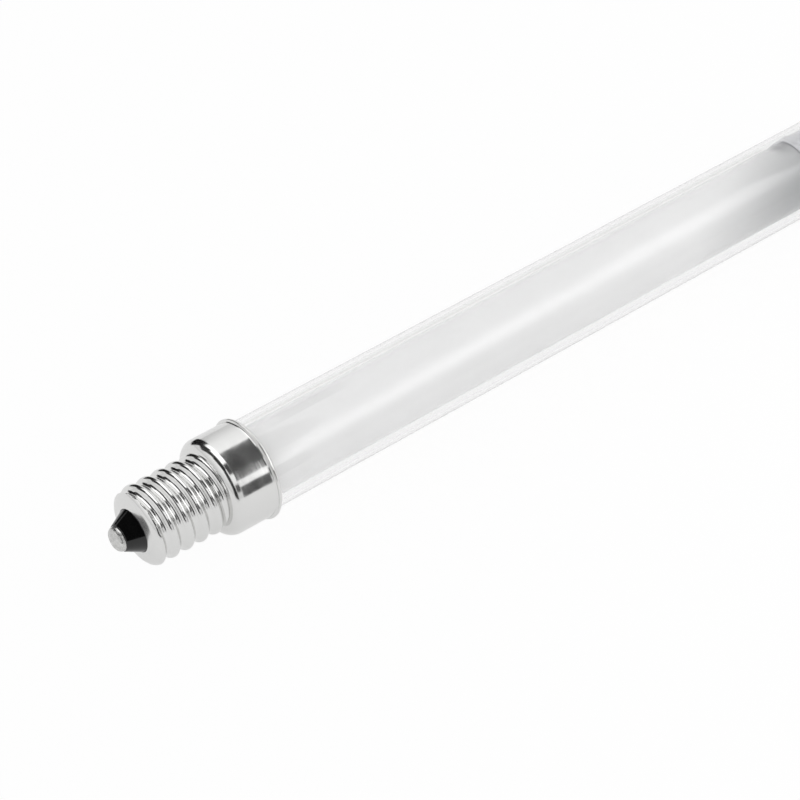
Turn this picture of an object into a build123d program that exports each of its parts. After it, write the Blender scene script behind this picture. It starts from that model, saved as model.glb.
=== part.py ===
"""A small single-ended ultraviolet tube lamp: a white coated discharge tube sealed in a clear glass
jacket, on a nickel-plated E14 screw cap.

The lamp lies along +X. The origin is the tip of its centre contact, on the lamp's axis. Millimetres.
"""

import os
from math import cos, pi, radians, sin, sqrt, tan

from build123d import *

# Screw cap: the drawn shell, plain at the crest diameter of its rounded thread
sheet = 0.3
nose_x = 4.1
nose_hole_r = 3.9
nose_slope = 10
nose_round_r = 1.5
thread_major_d = 13.8
skirt_x = 20.4
shoulder_round_r = 2.0
rim_x = 27.3
bead_length = 1.1
bead_flat = 0.45
bead_rise = 0.45
# Centre contact and its black glass insulator
contact_d = 4.4
contact_crown_r = 5.0
contact_crown_span = 17
eyelet_d = 4.0
eyelet_sheet = 0.35
eyelet_stem_d = 2.0
eyelet_bore_d = 1.3
eyelet_depth = 2.0
solder_plug_depth = 1.35
insulator_tip_d = 4.7
insulator_back_x = 7.6
insulator_clearance = 0.05
insulator_collar_d = 11.0
insulator_funnel_d = 8.0
insulator_funnel_depth = 1.6
# Clear glass jacket
jacket_d = 16.0
jacket_wall = 0.8
jacket_start_x = 20.7
jacket_length = 152.6
# White discharge tube
discharge_wall = 0.7
discharge_start_x = 26.0
discharge_length = 134.4
discharge_shoulder = 1.6
discharge_end_land = 0.75
# Glass stems
stem_d = 5.0
stem_wall = 0.55
flare_depth = 1.1
jacket_stem_tube = 0.1
discharge_stem_tube = 3.0
pinch_blend = 0.6
pinch_length = 1.2
pinch_thickness = 2.3
exhaust_d = 2.0
exhaust_wall = 0.35
jacket_exhaust_length = 9.0
discharge_exhaust_length = 4.0
# Wires
lead_d = 0.4
thin_lead_d = 0.3
lead_offset = 1.5
lead_bare_length = 0.45
contact_lead_tip_x = 0.7
contact_lead_bend_x = 9.0
contact_lead_bend_run = 3.5
weld_length = 0.8
side_lead_turn_gap = 0.35
side_lead_fit = 0.05
sleeve_wall = 0.14
sleeve_bore_clearance = 0.01
sleeve_gap = 0.05
sleeve_start_x = 29.0
sleeve_bare_length = 2.0
# Electrodes: nickel cups
cup_d = 5.0
cup_wall = 0.25
cup_base_edge = 0.4
cup_length = 8.0
cup_distance = 10.0
# Ferrule round the discharge tube's far end
ferrule_grip = 8.4
ferrule_sheet = 0.35
ferrule_bead_x = 1.9
ferrule_bead_length = 1.0
ferrule_bead_flat = 0.3
ferrule_bead_rise = 0.2
ferrule_flange_r = 4.6
ferrule_weld_length = 1.0
finger_count = 3
finger_width = 3.0
finger_length = 5.0
finger_sheet = 0.25
finger_crown_length = 1.2
# Spacer, cement and solder at the cap end, and the mercury
end_clearance = 0.1
spring_clearance = 0.05
spacer_base = 1.1
spacer_lip = 1.1
spacer_bore_d = 5.6
spacer_fit = 0.05
wire_slot_width = 0.5
cement_start_x = 20.9
cement_end_x = 25.2
rim_solder_d = 1.4
mercury_d = 1.0
mercury_x = 60.0

contact_r = contact_d / 2
thread_r = thread_major_d / 2
nose_angle = radians(nose_slope)
jacket_r = jacket_d / 2
jacket_bore_r = jacket_r - jacket_wall
jacket_end_x = jacket_start_x + jacket_length
dome_x = jacket_end_x - jacket_r
discharge_space = ferrule_sheet + thin_lead_d + sleeve_bore_clearance + sleeve_wall + sleeve_gap
discharge_r = jacket_bore_r - discharge_space
discharge_mouth_r = discharge_r - discharge_shoulder - discharge_end_land
discharge_end_x = discharge_start_x + discharge_length
stem_r = stem_d / 2
stem_bore_r = stem_r - stem_wall
exhaust_r = exhaust_d / 2
lead_r = lead_d / 2
thin_lead_r = thin_lead_d / 2
cup_r = cup_d / 2
near_cup_x = discharge_start_x + cup_distance
far_cup_x = discharge_end_x - cup_distance
ferrule_x = discharge_end_x - ferrule_grip
ferrule_r = discharge_r + ferrule_sheet
ferrule_end_x = discharge_end_x + end_clearance + ferrule_sheet
return_r = ferrule_r + thin_lead_r
skirt_bore_r = jacket_r + thin_lead_d + side_lead_fit
skirt_r = skirt_bore_r + sheet
side_lead_r = (jacket_r + skirt_bore_r) / 2
near_lead_y = lead_d - lead_offset

# The solder contact: a shallow crown, rounded off at its edge until it runs along the axis.
crown_angle = radians(contact_crown_span)
crown_reach = contact_crown_r * sin(crown_angle)
contact_edge_r = (contact_r - crown_reach) / (1 - sin(crown_angle))
contact_height = contact_crown_r * (1 - cos(crown_angle)) + contact_edge_r * cos(crown_angle)


def nose_cone_x(radius, inset):
    """Where the nose's shallow cone, moved inwards by inset, reaches a radius."""
    return nose_x + (radius - nose_hole_r) * tan(nose_angle) + inset / cos(nose_angle)


def shell_form(inset):
    """The drawn shell as a filled form, moved inwards by inset: nose, thread, shoulder and skirt."""
    plain_r = thread_r - inset
    side_r = skirt_r - inset
    nose_r = nose_round_r - inset
    turn_r = plain_r - nose_r * (1 - sin(nose_angle))
    turn = (nose_cone_x(turn_r, inset), turn_r)
    shoulder_rise = plain_r - (skirt_r - shoulder_round_r)
    shoulder_x = skirt_x - sqrt((shoulder_round_r - inset) ** 2 - shoulder_rise**2)
    with BuildPart() as form:
        with BuildSketch():
            with BuildLine():
                Polyline((rim_x, side_r), (rim_x, 0), (nose_cone_x(0, inset), 0), turn)
                nose = JernArc(turn, (sin(nose_angle), cos(nose_angle)), nose_r, nose_slope - 90)
                Line(nose @ 1, (shoulder_x, plain_r))
                TangentArc((skirt_x, side_r), (shoulder_x, plain_r), tangent=(-1, 0))
                Line((skirt_x, side_r), (rim_x, side_r))
            make_face()
        revolve(axis=Axis.X)
    return form.part


with BuildPart() as screw_shell:
    bead_x = rim_x - bead_length
    bead_slope = (bead_length - bead_flat) / 2
    bead_r = skirt_r + bead_rise
    add(shell_form(0))
    with BuildSketch():
        with BuildLine():
            Polyline(
                (bead_x, skirt_bore_r),
                (bead_x, skirt_r),
                (bead_x + bead_slope, bead_r),
                (rim_x - bead_slope, bead_r),
                (rim_x, skirt_r),
                (rim_x, skirt_bore_r),
                close=True,
            )
        make_face()
    revolve(axis=Axis.X)
    add(shell_form(sheet), mode=Mode.SUBTRACT)
    with BuildSketch(Plane.YZ.offset(nose_cone_x(0, 0))):
        Circle(nose_hole_r)
    extrude(amount=skirt_x, mode=Mode.SUBTRACT)

with BuildPart() as cap_insulator:
    through_r = nose_hole_r - insulator_clearance
    collar_r = insulator_collar_d / 2
    with BuildSketch():
        with BuildLine():
            Polyline(
                (contact_height, 0),
                (contact_height, insulator_tip_d / 2),
                (nose_x, through_r),
                (nose_cone_x(through_r, sheet), through_r),
                (nose_cone_x(collar_r, sheet), collar_r),
                (insulator_back_x, collar_r),
                (insulator_back_x, insulator_funnel_d / 2),
                (insulator_back_x - insulator_funnel_depth, eyelet_bore_d / 2),
                (insulator_back_x - insulator_funnel_depth, 0),
                (contact_height, 0),
            )
        make_face()
    revolve(axis=Axis.X)
    with BuildSketch(Plane.YZ.offset(contact_height)) as pocket:
        Circle(eyelet_d / 2)
    extrude(amount=eyelet_sheet, mode=Mode.SUBTRACT)
    with BuildSketch(Plane.YZ.offset(contact_height)) as stem_hole:
        Circle(eyelet_stem_d / 2)
    extrude(amount=eyelet_sheet + eyelet_depth, mode=Mode.SUBTRACT)
    with BuildSketch(Plane.YZ.offset(contact_height)) as wire_hole:
        Circle(eyelet_bore_d / 2)
    extrude(amount=insulator_back_x, mode=Mode.SUBTRACT)

with BuildPart() as contact_eyelet:
    with BuildSketch(Plane.YZ.offset(contact_height)) as flange:
        Circle(eyelet_d / 2)
        Circle(eyelet_bore_d / 2, mode=Mode.SUBTRACT)
    extrude(amount=eyelet_sheet)
    with BuildSketch(Plane.YZ.offset(contact_height + eyelet_sheet)) as stem_ring:
        Circle(eyelet_stem_d / 2)
        Circle(eyelet_bore_d / 2, mode=Mode.SUBTRACT)
    extrude(amount=eyelet_depth)

with BuildPart() as contact_solder:
    plug_x = contact_height + solder_plug_depth
    with BuildSketch():
        with BuildLine():
            crown = JernArc((0, 0), (0, 1), contact_crown_r, -contact_crown_span)
            JernArc(crown @ 1, crown % 1, contact_edge_r, contact_crown_span - 90)
            Polyline(
                (contact_height, contact_r),
                (contact_height, eyelet_bore_d / 2),
                (plug_x, eyelet_bore_d / 2),
                (plug_x, lead_r),
                (contact_lead_tip_x, lead_r),
                (contact_lead_tip_x, 0),
                (0, 0),
            )
        make_face()
    revolve(axis=Axis.X)

with BuildPart() as outer_tube:
    with BuildSketch():
        with BuildLine():
            Polyline((dome_x, jacket_bore_r), (jacket_start_x, jacket_bore_r), (jacket_start_x, jacket_r))
            Line((jacket_start_x, jacket_r), (dome_x, jacket_r))
            CenterArc((dome_x, 0), jacket_r, 0, 90)
            Line((jacket_end_x, 0), (jacket_end_x - jacket_wall, 0))
            CenterArc((dome_x, 0), jacket_bore_r, 0, 90)
        make_face()
    revolve(axis=Axis.X)

with BuildPart() as discharge_tube:
    with BuildSketch(Plane.YZ.offset(discharge_start_x)):
        Circle(discharge_r)
    extrude(amount=discharge_length)
    chamfer(discharge_tube.edges().filter_by(GeomType.CIRCLE), discharge_shoulder)
    offset(amount=-discharge_wall, mode=Mode.SUBTRACT)
    with BuildSketch(Plane.YZ.offset(discharge_start_x)):
        Circle(discharge_mouth_r)
    extrude(amount=discharge_length, mode=Mode.SUBTRACT)


def glass_stem(end_x, inwards, mouth_r, tube_length, exhaust_length, leads):
    """A flared and pinched glass stem, fused into the mouth of a tube whose end face is at end_x.

    inwards is 1 or -1, the way into the tube. leads gives the side offset and the radius of each wire.
    An exhaust length of 0 leaves the exhaust tube out.
    """
    flare_x = end_x + inwards * stem_wall
    tube_x = flare_x + inwards * flare_depth
    blend_x = tube_x + inwards * tube_length
    pinch_x = blend_x + inwards * pinch_blend
    top_x = pinch_x + inwards * pinch_length
    tip_x = end_x - inwards * exhaust_length
    neck_x = tip_x + inwards * exhaust_d
    with BuildPart() as stem:
        with BuildSketch():
            with BuildLine():
                Polyline(
                    (end_x, mouth_r),
                    (flare_x, mouth_r),
                    (tube_x, stem_r),
                    (top_x, stem_r),
                    (top_x, 0),
                    (blend_x, 0),
                    (blend_x, stem_bore_r),
                    (end_x + inwards * flare_depth, stem_bore_r),
                    close=True,
                )
            make_face()
        revolve(axis=Axis.X)
        with BuildSketch(Plane.XZ):
            with BuildLine():
                Polyline(
                    (blend_x, stem_r),
                    (pinch_x, pinch_thickness / 2),
                    (top_x, pinch_thickness / 2),
                    (top_x, mouth_r),
                    (blend_x, mouth_r),
                    close=True,
                )
            make_face()
            mirror(about=Plane.XZ)
        extrude(amount=stem_r, both=True, mode=Mode.SUBTRACT)
        if exhaust_length:
            with BuildSketch():
                with BuildLine():
                    Polyline(
                        (tip_x, 0),
                        (tip_x, exhaust_wall),
                        (neck_x, exhaust_r),
                        (pinch_x, exhaust_r),
                        (pinch_x, 0),
                        close=True,
                    )
                make_face()
            revolve(axis=Axis.X)
            with BuildSketch(Plane.YZ.offset(top_x)):
                Circle(exhaust_r - exhaust_wall)
            extrude(amount=neck_x - top_x, mode=Mode.SUBTRACT)
        for lead_y, wire_r in leads:
            with BuildSketch(Plane.YZ.offset(blend_x)):
                with Locations((lead_y, 0)):
                    Circle(wire_r)
            extrude(amount=top_x - blend_x, mode=Mode.SUBTRACT)
    return stem.part


with BuildPart() as jacket_stem:
    add(
        glass_stem(
            jacket_start_x,
            1,
            jacket_bore_r,
            jacket_stem_tube,
            jacket_exhaust_length,
            [(-lead_offset, lead_r), (lead_offset, thin_lead_r)],
        )
    )

with BuildPart() as near_stem:
    add(
        glass_stem(
            discharge_start_x,
            1,
            discharge_mouth_r,
            discharge_stem_tube,
            0,
            [(near_lead_y, lead_r)],
        )
    )

with BuildPart() as far_stem:
    add(
        glass_stem(
            discharge_end_x,
            -1,
            discharge_mouth_r,
            discharge_stem_tube,
            discharge_exhaust_length,
            [(lead_offset, lead_r)],
        )
    )


def electrode_cup(base_x, mouth_side):
    """A deep-drawn nickel cup with its base at base_x, open towards mouth_side, 1 or -1."""
    with BuildPart() as cup:
        with BuildSketch(Plane.YZ.offset(base_x)):
            Circle(cup_r)
        extrude(amount=mouth_side * cup_length)
        chamfer(cup.edges().sort_by(Axis.X)[0 if mouth_side > 0 else -1], cup_base_edge)
        offset(amount=-cup_wall, openings=cup.faces().sort_by(Axis.X)[-1 if mouth_side > 0 else 0])
    return cup.part


with BuildPart() as near_electrode:
    add(electrode_cup(near_cup_x, 1))

with BuildPart() as far_electrode:
    add(electrode_cup(far_cup_x, -1))


def wire(points, radius):
    """A round wire along straight runs in the XY plane, with a tight bend at each inner point."""
    with BuildLine() as route:
        Polyline(*points)
    with BuildPart() as drawn:
        with BuildSketch(Plane(route.line @ 0, z_dir=route.line % 0)):
            Circle(radius)
        sweep(path=route.line, transition=Transition.RIGHT)
    return drawn.part


# Places of the wires between the jacket's stem and the discharge tube
jacket_pinch_x = (
    jacket_start_x + stem_wall + flare_depth + jacket_stem_tube + pinch_blend + pinch_length
)
spacer_x = discharge_start_x - spacer_base

with BuildPart() as near_lead:
    add(wire([(jacket_pinch_x + lead_bare_length, near_lead_y), (near_cup_x, near_lead_y)], lead_r))

with BuildPart() as contact_lead:
    add(
        wire(
            [
                (contact_lead_tip_x, 0),
                (contact_lead_bend_x, 0),
                (contact_lead_bend_x + contact_lead_bend_run, -lead_offset),
                (jacket_pinch_x + lead_bare_length + weld_length, -lead_offset),
            ],
            lead_r,
        )
    )

with BuildPart() as side_lead:
    turn_x = jacket_start_x - side_lead_turn_gap
    add(
        wire(
            [
                (jacket_pinch_x + lead_bare_length, lead_offset),
                (turn_x, lead_offset),
                (turn_x, side_lead_r),
                (rim_x + lead_bare_length / 2, side_lead_r),
            ],
            thin_lead_r,
        )
    )

with BuildPart() as return_lead:
    drop_x = jacket_pinch_x + thin_lead_r + lead_bare_length / 3
    add(
        wire(
            [
                (ferrule_x + ferrule_weld_length, return_r),
                (drop_x, return_r),
                (drop_x, lead_offset + thin_lead_d),
            ],
            thin_lead_r,
        )
    )

with BuildPart() as far_lead:
    outside_x = ferrule_end_x + lead_r
    add(
        wire(
            [
                (far_cup_x, lead_offset),
                (outside_x, lead_offset),
                (outside_x, ferrule_flange_r + ferrule_weld_length),
            ],
            lead_r,
        )
    )

with BuildPart() as return_sleeve:
    with BuildSketch(Plane.YZ.offset(sleeve_start_x)):
        with Locations((return_r, 0)):
            Circle(thin_lead_r + sleeve_bore_clearance + sleeve_wall)
            Circle(thin_lead_r + sleeve_bore_clearance, mode=Mode.SUBTRACT)
    extrude(amount=ferrule_x - sleeve_bare_length - sleeve_start_x)

# The ferrule's bead, as places along it and how far each is pressed out, and its spring fingers
bead_middle_x = ferrule_x + ferrule_bead_x
bead_points = [
    (bead_middle_x - ferrule_bead_length / 2, 0),
    (bead_middle_x - ferrule_bead_flat / 2, ferrule_bead_rise),
    (bead_middle_x + ferrule_bead_flat / 2, ferrule_bead_rise),
    (bead_middle_x + ferrule_bead_length / 2, 0),
]
finger_end_x = ferrule_end_x + finger_length
finger_crown_r = jacket_bore_r - spring_clearance
finger_crown_x = ferrule_end_x + (finger_length - finger_crown_length) / 2
crown_ends = [finger_crown_x, finger_crown_x + finger_crown_length]
finger_angle = 360 * finger_width / (2 * pi * jacket_bore_r)

with BuildPart() as far_ferrule:
    flange_x = discharge_end_x + end_clearance
    with BuildSketch():
        with BuildLine():
            Polyline(
                (ferrule_x, discharge_r),
                *[(x, discharge_r + rise) for x, rise in bead_points],
                (flange_x, discharge_r),
                (flange_x, ferrule_flange_r),
                (ferrule_end_x, ferrule_flange_r),
                (ferrule_end_x, ferrule_r),
                *[(x, ferrule_r + rise) for x, rise in reversed(bead_points)],
                (ferrule_x, ferrule_r),
                close=True,
            )
        make_face()
    revolve(axis=Axis.X)
    for k in range(finger_count):
        with BuildSketch(Plane.XY.rotated(((2 * k + 1) * 180 / finger_count, 0, 0))):
            with BuildLine():
                Polyline(
                    (flange_x, ferrule_r),
                    *[(x, finger_crown_r) for x in crown_ends],
                    (finger_end_x, ferrule_r),
                    (finger_end_x, ferrule_r - finger_sheet),
                    *[(x, finger_crown_r - finger_sheet) for x in reversed(crown_ends)],
                    (flange_x, ferrule_r - finger_sheet),
                    close=True,
                )
            make_face()
        revolve(axis=Axis.X, revolution_arc=finger_angle)

with BuildPart() as near_spacer:
    with BuildSketch():
        with BuildLine():
            Polyline(
                (spacer_x, spacer_bore_d / 2),
                (spacer_x, jacket_bore_r - end_clearance),
                (discharge_start_x + spacer_lip, jacket_bore_r - end_clearance),
                (discharge_start_x + spacer_lip, discharge_r + spacer_fit),
                (discharge_start_x, discharge_r + spacer_fit),
                (discharge_start_x, spacer_bore_d / 2),
                (spacer_x, spacer_bore_d / 2),
            )
        make_face()
    revolve(axis=Axis.X)
    with BuildSketch(Plane.YZ.offset(spacer_x)):
        with Locations((return_r, 0)):
            Rectangle(2 * wire_slot_width, wire_slot_width)
    extrude(amount=spacer_base + spacer_lip, mode=Mode.SUBTRACT)

with BuildPart() as capping_cement:
    with BuildSketch(Plane.YZ.offset(cement_start_x)):
        Circle(skirt_bore_r)
        Circle(jacket_r, mode=Mode.SUBTRACT)
        with Locations((side_lead_r, 0)):
            Rectangle(2 * wire_slot_width, wire_slot_width, mode=Mode.SUBTRACT)
    extrude(amount=cement_end_x - cement_start_x)

with BuildPart() as rim_solder:
    with Locations((rim_x, side_lead_r + rim_solder_d / 3, 0)):
        Sphere(rim_solder_d / 2)
    add(screw_shell.part, mode=Mode.SUBTRACT)
    with BuildSketch(Plane.YZ.offset(rim_x - rim_solder_d)):
        Circle(jacket_r)
        with Locations((side_lead_r, 0)):
            Circle(thin_lead_r)
    extrude(amount=rim_solder_d + lead_bare_length / 2, mode=Mode.SUBTRACT)

with BuildPart() as mercury_drop:
    with Locations((mercury_x, 0, -(discharge_r - discharge_wall - mercury_d / 2))):
        Sphere(mercury_d / 2)

pieces = {
    "screw_shell": screw_shell,
    "cap_insulator": cap_insulator,
    "contact_eyelet": contact_eyelet,
    "contact_solder": contact_solder,
    "rim_solder": rim_solder,
    "capping_cement": capping_cement,
    "outer_tube": outer_tube,
    "jacket_stem": jacket_stem,
    "discharge_tube": discharge_tube,
    "near_spacer": near_spacer,
    "near_stem": near_stem,
    "far_stem": far_stem,
    "near_electrode": near_electrode,
    "far_electrode": far_electrode,
    "near_lead": near_lead,
    "far_lead": far_lead,
    "contact_lead": contact_lead,
    "side_lead": side_lead,
    "return_lead": return_lead,
    "return_sleeve": return_sleeve,
    "far_ferrule": far_ferrule,
    "mercury_drop": mercury_drop,
}
os.makedirs("parts", exist_ok=True)
for name, piece in pieces.items():
    piece.part.label = name
    export_step(piece.part, f"parts/{name}.step")
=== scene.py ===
# %% [markdown]
# # A small ultraviolet tube lamp
#
# The lamp is a white coated discharge tube, sealed in a clear glass jacket, on a nickel-plated screw cap.
# This lesson gives each visible surface a smooth, finely divided piece and a finish, then builds the
# studio round it. The lamp lies along +X, and the origin is the tip of its centre contact. Blender works
# in metres.

# %% Load the measured frame
from math import ceil, cos, degrees, pi, radians, sin, sqrt, tan

import bmesh
import bpy
from mathutils import Matrix, Vector


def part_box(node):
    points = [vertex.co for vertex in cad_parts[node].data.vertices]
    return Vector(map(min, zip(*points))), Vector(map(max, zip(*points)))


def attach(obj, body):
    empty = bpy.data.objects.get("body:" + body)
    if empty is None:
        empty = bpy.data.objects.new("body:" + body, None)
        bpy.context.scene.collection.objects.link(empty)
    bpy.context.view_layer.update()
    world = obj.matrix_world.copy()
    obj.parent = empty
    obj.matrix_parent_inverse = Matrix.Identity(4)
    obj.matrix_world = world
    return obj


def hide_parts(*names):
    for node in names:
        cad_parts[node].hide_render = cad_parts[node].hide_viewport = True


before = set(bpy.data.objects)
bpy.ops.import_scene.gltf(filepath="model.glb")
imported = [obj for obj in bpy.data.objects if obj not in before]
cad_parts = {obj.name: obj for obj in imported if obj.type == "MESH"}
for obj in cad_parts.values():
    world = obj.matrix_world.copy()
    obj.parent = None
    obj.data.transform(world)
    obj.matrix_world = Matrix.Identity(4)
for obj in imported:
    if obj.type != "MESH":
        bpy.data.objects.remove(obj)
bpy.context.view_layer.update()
MM = 0.001


# %% [markdown]
# ## The camera
#
# A product photographer shoots a slim object like this from above and from the cap's side, with a long
# lens, so that the near end is not blown up. The view is set first, because it decides which reflections
# matter. An azimuth and an elevation give the direction, and the camera's place is measured from the cap.

# %% Place the camera
CAMERA_AZIMUTH = radians(-39.2)
CAMERA_ELEVATION = radians(41.8)
CAMERA_PLACE = Vector((-163.0, -272.36, 311.17)) * MM
LENS = 124.74
SENSOR = 36.0
NEAREST_SEEN = 10 * MM

backward = Vector(
    (
        cos(CAMERA_ELEVATION) * sin(CAMERA_AZIMUTH),
        -cos(CAMERA_ELEVATION) * cos(CAMERA_AZIMUTH),
        sin(CAMERA_ELEVATION),
    )
)
rightward = Vector((cos(CAMERA_AZIMUTH), sin(CAMERA_AZIMUTH), 0))
upward = backward.cross(rightward)
turn = Matrix((rightward, upward, backward)).transposed().to_4x4()
camera_data = bpy.data.cameras.new("camera")
camera_data.lens = LENS
camera_data.sensor_width = SENSOR
camera_data.clip_start = NEAREST_SEEN
camera = bpy.data.objects.new("camera", camera_data)
camera.matrix_world = Matrix.Translation(CAMERA_PLACE) @ turn
bpy.context.scene.collection.objects.link(camera)
bpy.context.scene.camera = camera
print("camera looks along", [round(-v, 3) for v in backward])

# %% [markdown]
# ## Three small helpers
#
# Colours are written as the hex values that a colour picker shows, and Blender's nodes want linear light,
# so one function turns them. Another adds a node of any kind with its settings and its links, for shaders
# and for Geometry Nodes alike.

# %% Helpers for colour and nodes
def linear(hex_colour, alpha=1.0):
    """An sRGB hex colour such as "#D8D6D2" as linear red, green, blue and alpha."""
    channels = [int(hex_colour[i : i + 2], 16) / 255 for i in (1, 3, 5)]
    light = [c / 12.92 if c <= 0.04045 else ((c + 0.055) / 1.055) ** 2.4 for c in channels]
    return (*light, alpha)


def add_node(tree, kind, inputs=None, **settings):
    """Adds a node. inputs gives a value or an output socket for each input, by its name or number."""
    node = tree.nodes.new(kind)
    for name, value in settings.items():
        setattr(node, name, value)
    for key, value in (inputs or {}).items():
        if isinstance(value, bpy.types.NodeSocket):
            tree.links.new(value, node.inputs[key])
        else:
            node.inputs[key].default_value = value
    return node


def new_material(name, **principled):
    """A material with one Principled shader, whose sockets are set by name, and its node tree."""
    material = bpy.data.materials.new(name)
    material.use_nodes = True
    tree = material.node_tree
    tree.nodes.clear()
    sockets = {key.replace("_", " "): value for key, value in principled.items()}
    shader = add_node(tree, "ShaderNodeBsdfPrincipled", sockets)
    add_node(tree, "ShaderNodeOutputMaterial", {"Surface": shader.outputs[0]})
    return material, tree, shader


print("white in linear light:", linear("#FFFFFF")[:3])

# %% [markdown]
# ## Nickel plate on drawn brass
#
# The cap's shell is drawn from thin brass sheet, its thread is rolled in, and it is plated with bright
# nickel. The plating keeps the faint rings of the drawing and rolling tools, so a long reflection has
# slightly restless edges. Those rings are about 0.05 mm apart, too fine for this view, and are drawn
# 0.4 mm apart. A slow unevenness stands for the ripples of thin rolled sheet.

# %% Make the nickel plate
RING_SPACING = 0.4 * MM
SHEET_RIPPLE = 2.5 * MM
nickel_plate, tree, shader = new_material(
    "bright nickel plate on drawn brass", Metallic=1.0, Base_Color=linear("#E2E2E1")
)
place = add_node(tree, "ShaderNodeTexCoord")
split = add_node(tree, "ShaderNodeSeparateXYZ", {0: place.outputs["Object"]})
rings = add_node(
    tree,
    "ShaderNodeTexNoise",
    {"W": split.outputs["X"], "Scale": 1 / RING_SPACING, "Detail": 1.0},
    noise_dimensions="1D",
)
ripples = add_node(
    tree,
    "ShaderNodeTexNoise",
    {"Vector": place.outputs["Object"], "Scale": 1 / SHEET_RIPPLE, "Detail": 1.0},
)
ripple_bump = add_node(
    tree, "ShaderNodeBump", {"Height": ripples.outputs[0], "Strength": 0.16, "Distance": 0.15 * MM}
)
ring_bump = add_node(
    tree,
    "ShaderNodeBump",
    {"Height": rings.outputs[0], "Strength": 0.12, "Distance": 0.02 * MM, "Normal": ripple_bump.outputs[0]},
)
tree.links.new(ring_bump.outputs[0], shader.inputs["Normal"])
haze = add_node(
    tree, "ShaderNodeMapRange", {"Value": ripples.outputs[0], "To Min": 0.1, "To Max": 0.19}
)
tree.links.new(haze.outputs[0], shader.inputs["Roughness"])
print("nickel rings every", round(RING_SPACING / MM, 2), "mm")

# %% [markdown]
# ## Black cap glass
#
# The insulator is opaque black glass, run molten into the shell and pressed to a cone round the contact.
# It is nearly black with a clean gloss, and its pressed face is a little wavy.

# %% Make the black glass
PRESS_WAVE = 1.6 * MM
black_glass, tree, shader = new_material("pressed black cap glass", Roughness=0.12, IOR=1.52)
place = add_node(tree, "ShaderNodeTexCoord")
waves = add_node(tree, "ShaderNodeTexNoise", {"Vector": place.outputs["Object"], "Scale": 1 / PRESS_WAVE})
wave_bump = add_node(
    tree, "ShaderNodeBump", {"Height": waves.outputs[0], "Strength": 0.08, "Distance": 0.2 * MM}
)
tree.links.new(wave_bump.outputs[0], shader.inputs["Normal"])
tone = add_node(
    tree,
    "ShaderNodeMix",
    {"Factor": waves.outputs[0], "A": linear("#030303"), "B": linear("#0A0A0A")},
    data_type="RGBA",
)
tree.links.new(tone.outputs["Result"], shader.inputs["Base Color"])
print("black glass waves every", round(PRESS_WAVE / MM, 2), "mm")

# %% [markdown]
# ## Tin solder
#
# The centre contact and the joint on the rim are solder that set from molten. The skin is satin, mottled
# where crystals met as it froze, and dimpled by flux.

# %% Make the solder
SOLDER_GRAIN = 0.55 * MM
SOLDER_FLOW = 0.6875 * MM
solder, tree, shader = new_material("tin solder set from molten", Metallic=1.0)
place = add_node(tree, "ShaderNodeTexCoord")
crystals = add_node(
    tree, "ShaderNodeTexVoronoi", {"Vector": place.outputs["Object"], "Scale": 1 / SOLDER_GRAIN}
)
flow = add_node(
    tree,
    "ShaderNodeTexNoise",
    {"Vector": place.outputs["Object"], "Scale": 1 / SOLDER_FLOW, "Detail": 3.0},
)
solder_tone = add_node(
    tree,
    "ShaderNodeMix",
    {"Factor": flow.outputs[0], "A": linear("#A9A9A8"), "B": linear("#EDEDEB")},
    data_type="RGBA",
)
tree.links.new(solder_tone.outputs["Result"], shader.inputs["Base Color"])
solder_gloss = add_node(
    tree, "ShaderNodeMapRange", {"Value": crystals.outputs["Distance"], "To Min": 0.18, "To Max": 0.42}
)
tree.links.new(solder_gloss.outputs[0], shader.inputs["Roughness"])
dimples = add_node(
    tree, "ShaderNodeBump", {"Height": flow.outputs[0], "Strength": 0.45, "Distance": 0.25 * MM}
)
tree.links.new(dimples.outputs[0], shader.inputs["Normal"])
print("solder grain", round(SOLDER_GRAIN / MM, 2), "mm")

# %% [markdown]
# ## Clear glass
#
# The jacket is drawn soda-lime tube, and the stems and the sleeve are worked from the same glass in a
# flame. Drawn tube carries long, very shallow draw lines along its length, which only show where a
# reflection crosses them.

# %% Make the clear glass
DRAW_LINE = 1.5 * MM
LINE_STRETCH = 50
clear_glass, tree, shader = new_material(
    "drawn clear glass", Base_Color=linear("#F8F8F8"), Roughness=0.0, IOR=1.5, Transmission_Weight=1.0
)
place = add_node(tree, "ShaderNodeTexCoord")
along = add_node(
    tree, "ShaderNodeMapping", {"Vector": place.outputs["Object"], "Scale": (1 / LINE_STRETCH, 1, 1)}
)
lines = add_node(tree, "ShaderNodeTexNoise", {"Vector": along.outputs[0], "Scale": 1 / DRAW_LINE})
line_bump = add_node(
    tree, "ShaderNodeBump", {"Height": lines.outputs[0], "Strength": 0.005, "Distance": 0.1 * MM}
)
tree.links.new(line_bump.outputs[0], shader.inputs["Normal"])
print("draw lines every", round(DRAW_LINE / MM, 2), "mm")
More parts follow.
